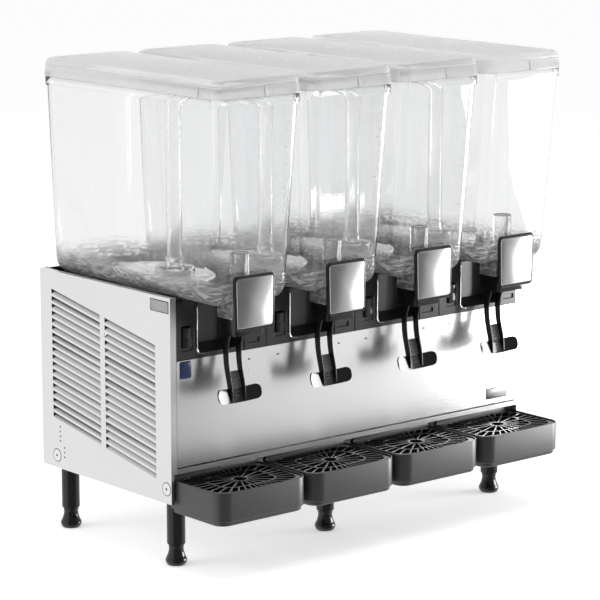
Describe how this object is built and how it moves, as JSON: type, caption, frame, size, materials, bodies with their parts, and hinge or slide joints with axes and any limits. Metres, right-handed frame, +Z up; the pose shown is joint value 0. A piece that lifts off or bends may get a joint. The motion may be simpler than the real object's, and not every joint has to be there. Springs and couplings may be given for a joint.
{
  "type": "cold beverage dispenser",
  "caption": "Refrigerated countertop drink dispenser: clear lift-off bowls with lids in a row over a steel cabinet, each with a push lever valve and a drip tray with a grille.",
  "frame": {"origin": "centre of the overall footprint at the floor under the feet", "axes": "+X to the right along the row of bowls, +Y to the back, +Z up; the levers and trays face -Y"},
  "size_m": [0.796, 0.4994, 0.82],
  "materials": {
    "stainless": "brushed stainless steel sheet",
    "zinc_sheet": "plain galvanised sheet",
    "black_plastic": "glossy black moulding",
    "grey_plastic": "dark grey moulding with a fine grain",
    "clear_plastic": "clear moulded polycarbonate",
    "black_enamel": "black enamel",
    "fin_metal": "plain aluminium fins"
  },
  "bodies": {
    "cabinet": {"chassis": "zinc_sheet", "side_panel_left": "stainless", "side_panel_right": "stainless", "front_panel": "stainless", "rear_panel": "zinc_sheet", "deck_fascia": "black_plastic", "compressor": "black_enamel", "condenser": "fin_metal", "fan_shroud": "zinc_sheet", "evaporator_1": "stainless", "evaporator_2": "stainless", "evaporator_3": "stainless", "evaporator_4": "stainless"},
    "fan": {"condenser_fan": "black_plastic"},
    "foot_1": {"foot_1": "black_plastic"},
    "foot_2": {"foot_2": "black_plastic"},
    "foot_3": {"foot_3": "black_plastic"},
    "foot_4": {"foot_4": "black_plastic"},
    "foot_5": {"foot_5": "black_plastic"},
    "foot_6": {"foot_6": "black_plastic"},
    "bowl_1": {"bowl_1": "clear_plastic", "valve_housing_1": "black_plastic"},
    "lid_1": {"lid_1": "clear_plastic"},
    "spray_tube_1": {"spray_tube_1": "clear_plastic"},
    "impeller_1": {"impeller_1": "black_plastic"},
    "plunger_1": {"plunger_1": "clear_plastic"},
    "lever_1": {"push_lever_1": "black_plastic"},
    "tray_1": {"drip_tray_1": "grey_plastic"},
    "grille_1": {"drip_grille_1": "black_plastic"},
    "rocker_1": {"rocker_1": "black_plastic"},
    "bowl_2": {"bowl_2": "clear_plastic", "valve_housing_2": "black_plastic"},
    "lid_2": {"lid_2": "clear_plastic"},
    "spray_tube_2": {"spray_tube_2": "clear_plastic"},
    "impeller_2": {"impeller_2": "black_plastic"},
    "plunger_2": {"plunger_2": "clear_plastic"},
    "lever_2": {"push_lever_2": "black_plastic"},
    "tray_2": {"drip_tray_2": "grey_plastic"},
    "grille_2": {"drip_grille_2": "black_plastic"},
    "rocker_2": {"rocker_2": "black_plastic"},
    "bowl_3": {"bowl_3": "clear_plastic", "valve_housing_3": "black_plastic"},
    "lid_3": {"lid_3": "clear_plastic"},
    "spray_tube_3": {"spray_tube_3": "clear_plastic"},
    "impeller_3": {"impeller_3": "black_plastic"},
    "plunger_3": {"plunger_3": "clear_plastic"},
    "lever_3": {"push_lever_3": "black_plastic"},
    "tray_3": {"drip_tray_3": "grey_plastic"},
    "grille_3": {"drip_grille_3": "black_plastic"},
    "rocker_3": {"rocker_3": "black_plastic"},
    "bowl_4": {"bowl_4": "clear_plastic", "valve_housing_4": "black_plastic"},
    "lid_4": {"lid_4": "clear_plastic"},
    "spray_tube_4": {"spray_tube_4": "clear_plastic"},
    "impeller_4": {"impeller_4": "black_plastic"},
    "plunger_4": {"plunger_4": "clear_plastic"},
    "lever_4": {"push_lever_4": "black_plastic"},
    "tray_4": {"drip_tray_4": "grey_plastic"},
    "grille_4": {"drip_grille_4": "black_plastic"},
    "rocker_4": {"rocker_4": "black_plastic"}
  },
  "joints": [
    {"name": "fan_spin", "type": "hinge", "parent": "cabinet", "child": "fan", "pos_m": [-0.327, 0.06, 0.2323], "axis": [1, 0, 0], "continuous": true},
    {"name": "foot_1_screw", "type": "slide", "parent": "cabinet", "child": "foot_1", "axis": [0, 0, -1], "range_m": [0, 0.015]},
    {"name": "foot_2_screw", "type": "slide", "parent": "cabinet", "child": "foot_2", "axis": [0, 0, -1], "range_m": [0, 0.015]},
    {"name": "foot_3_screw", "type": "slide", "parent": "cabinet", "child": "foot_3", "axis": [0, 0, -1], "range_m": [0, 0.015]},
    {"name": "foot_4_screw", "type": "slide", "parent": "cabinet", "child": "foot_4", "axis": [0, 0, -1], "range_m": [0, 0.015]},
    {"name": "foot_5_screw", "type": "slide", "parent": "cabinet", "child": "foot_5", "axis": [0, 0, -1], "range_m": [0, 0.015]},
    {"name": "foot_6_screw", "type": "slide", "parent": "cabinet", "child": "foot_6", "axis": [0, 0, -1], "range_m": [0, 0.015]},
    {"name": "bowl_1_lift", "type": "slide", "parent": "cabinet", "child": "bowl_1", "axis": [0, 0, 1], "range_m": [0, 0.1]},
    {"name": "lid_1_lift", "type": "slide", "parent": "bowl_1", "child": "lid_1", "axis": [0, 0, 1], "range_m": [0, 0.06]},
    {"name": "spray_tube_1_lift", "type": "slide", "parent": "cabinet", "child": "spray_tube_1", "axis": [0, 0, 1], "range_m": [0, 0.025]},
    {"name": "impeller_1_spin", "type": "hinge", "parent": "cabinet", "child": "impeller_1", "pos_m": [-0.2955, -0.01465, 0.477], "axis": [0, 0, 1], "continuous": true},
    {"name": "lever_1_push", "type": "hinge", "parent": "bowl_1", "child": "lever_1", "pos_m": [-0.2955, -0.19865, 0.4063], "axis": [1, 0, 0], "range_deg": [0, 14], "stiffness_Nm_per_rad": 0.3, "springref_deg": -11.46},
    {"name": "plunger_1_lift", "type": "slide", "parent": "bowl_1", "child": "plunger_1", "axis": [0, 0, 1], "range_m": [0, 0.004]},
    {"name": "tray_1_lift", "type": "slide", "parent": "cabinet", "child": "tray_1", "axis": [0, 0, 1], "range_m": [0, 0.005]},
    {"name": "grille_1_tilt", "type": "hinge", "parent": "tray_1", "child": "grille_1", "pos_m": [-0.2955, -0.11745, 0.1532], "axis": [-1, 0, 0], "range_deg": [0, 22]},
    {"name": "rocker_1_press", "type": "hinge", "parent": "cabinet", "child": "rocker_1", "pos_m": [-0.3639, -0.12665, 0.3925], "axis": [-1, 0, 0], "range_deg": [0, 14]},
    {"name": "bowl_2_lift", "type": "slide", "parent": "cabinet", "child": "bowl_2", "axis": [0, 0, 1], "range_m": [0, 0.1]},
    {"name": "lid_2_lift", "type": "slide", "parent": "bowl_2", "child": "lid_2", "axis": [0, 0, 1], "range_m": [0, 0.06]},
    {"name": "spray_tube_2_lift", "type": "slide", "parent": "cabinet", "child": "spray_tube_2", "axis": [0, 0, 1], "range_m": [0, 0.025]},
    {"name": "impeller_2_spin", "type": "hinge", "parent": "cabinet", "child": "impeller_2", "pos_m": [-0.0985, -0.01465, 0.477], "axis": [0, 0, 1], "continuous": true},
    {"name": "lever_2_push", "type": "hinge", "parent": "bowl_2", "child": "lever_2", "pos_m": [-0.0985, -0.19865, 0.4063], "axis": [1, 0, 0], "range_deg": [0, 14], "stiffness_Nm_per_rad": 0.3, "springref_deg": -11.46},
    {"name": "plunger_2_lift", "type": "slide", "parent": "bowl_2", "child": "plunger_2", "axis": [0, 0, 1], "range_m": [0, 0.004]},
    {"name": "tray_2_lift", "type": "slide", "parent": "cabinet", "child": "tray_2", "axis": [0, 0, 1], "range_m": [0, 0.005]},
    {"name": "grille_2_tilt", "type": "hinge", "parent": "tray_2", "child": "grille_2", "pos_m": [-0.0985, -0.11745, 0.1532], "axis": [-1, 0, 0], "range_deg": [0, 22]},
    {"name": "rocker_2_press", "type": "hinge", "parent": "cabinet", "child": "rocker_2", "pos_m": [-0.1669, -0.12665, 0.3925], "axis": [-1, 0, 0], "range_deg": [0, 14]},
    {"name": "bowl_3_lift", "type": "slide", "parent": "cabinet", "child": "bowl_3", "axis": [0, 0, 1], "range_m": [0, 0.1]},
    {"name": "lid_3_lift", "type": "slide", "parent": "bowl_3", "child": "lid_3", "axis": [0, 0, 1], "range_m": [0, 0.06]},
    {"name": "spray_tube_3_lift", "type": "slide", "parent": "cabinet", "child": "spray_tube_3", "axis": [0, 0, 1], "range_m": [0, 0.025]},
    {"name": "impeller_3_spin", "type": "hinge", "parent": "cabinet", "child": "impeller_3", "pos_m": [0.0985, -0.01465, 0.477], "axis": [0, 0, 1], "continuous": true},
    {"name": "lever_3_push", "type": "hinge", "parent": "bowl_3", "child": "lever_3", "pos_m": [0.0985, -0.19865, 0.4063], "axis": [1, 0, 0], "range_deg": [0, 14], "stiffness_Nm_per_rad": 0.3, "springref_deg": -11.46},
    {"name": "plunger_3_lift", "type": "slide", "parent": "bowl_3", "child": "plunger_3", "axis": [0, 0, 1], "range_m": [0, 0.004]},
    {"name": "tray_3_lift", "type": "slide", "parent": "cabinet", "child": "tray_3", "axis": [0, 0, 1], "range_m": [0, 0.005]},
    {"name": "grille_3_tilt", "type": "hinge", "parent": "tray_3", "child": "grille_3", "pos_m": [0.0985, -0.11745, 0.1532], "axis": [-1, 0, 0], "range_deg": [0, 22]},
    {"name": "rocker_3_press", "type": "hinge", "parent": "cabinet", "child": "rocker_3", "pos_m": [0.0301, -0.12665, 0.3925], "axis": [-1, 0, 0], "range_deg": [0, 14]},
    {"name": "bowl_4_lift", "type": "slide", "parent": "cabinet", "child": "bowl_4", "axis": [0, 0, 1], "range_m": [0, 0.1]},
    {"name": "lid_4_lift", "type": "slide", "parent": "bowl_4", "child": "lid_4", "axis": [0, 0, 1], "range_m": [0, 0.06]},
    {"name": "spray_tube_4_lift", "type": "slide", "parent": "cabinet", "child": "spray_tube_4", "axis": [0, 0, 1], "range_m": [0, 0.025]},
    {"name": "impeller_4_spin", "type": "hinge", "parent": "cabinet", "child": "impeller_4", "pos_m": [0.2955, -0.01465, 0.477], "axis": [0, 0, 1], "continuous": true},
    {"name": "lever_4_push", "type": "hinge", "parent": "bowl_4", "child": "lever_4", "pos_m": [0.2955, -0.19865, 0.4063], "axis": [1, 0, 0], "range_deg": [0, 14], "stiffness_Nm_per_rad": 0.3, "springref_deg": -11.46},
    {"name": "plunger_4_lift", "type": "slide", "parent": "bowl_4", "child": "plunger_4", "axis": [0, 0, 1], "range_m": [0, 0.004]},
    {"name": "tray_4_lift", "type": "slide", "parent": "cabinet", "child": "tray_4", "axis": [0, 0, 1], "range_m": [0, 0.005]},
    {"name": "grille_4_tilt", "type": "hinge", "parent": "tray_4", "child": "grille_4", "pos_m": [0.2955, -0.11745, 0.1532], "axis": [-1, 0, 0], "range_deg": [0, 22]},
    {"name": "rocker_4_press", "type": "hinge", "parent": "cabinet", "child": "rocker_4", "pos_m": [0.2271, -0.12665, 0.3925], "axis": [-1, 0, 0], "range_deg": [0, 14]}
  ],
  "couplings": [
    {"joint": "plunger_1_lift", "follows": "lever_1_push", "m_per_rad": 0.01637},
    {"joint": "plunger_2_lift", "follows": "lever_2_push", "m_per_rad": 0.01637},
    {"joint": "plunger_3_lift", "follows": "lever_3_push", "m_per_rad": 0.01637},
    {"joint": "plunger_4_lift", "follows": "lever_4_push", "m_per_rad": 0.01637}
  ]
}
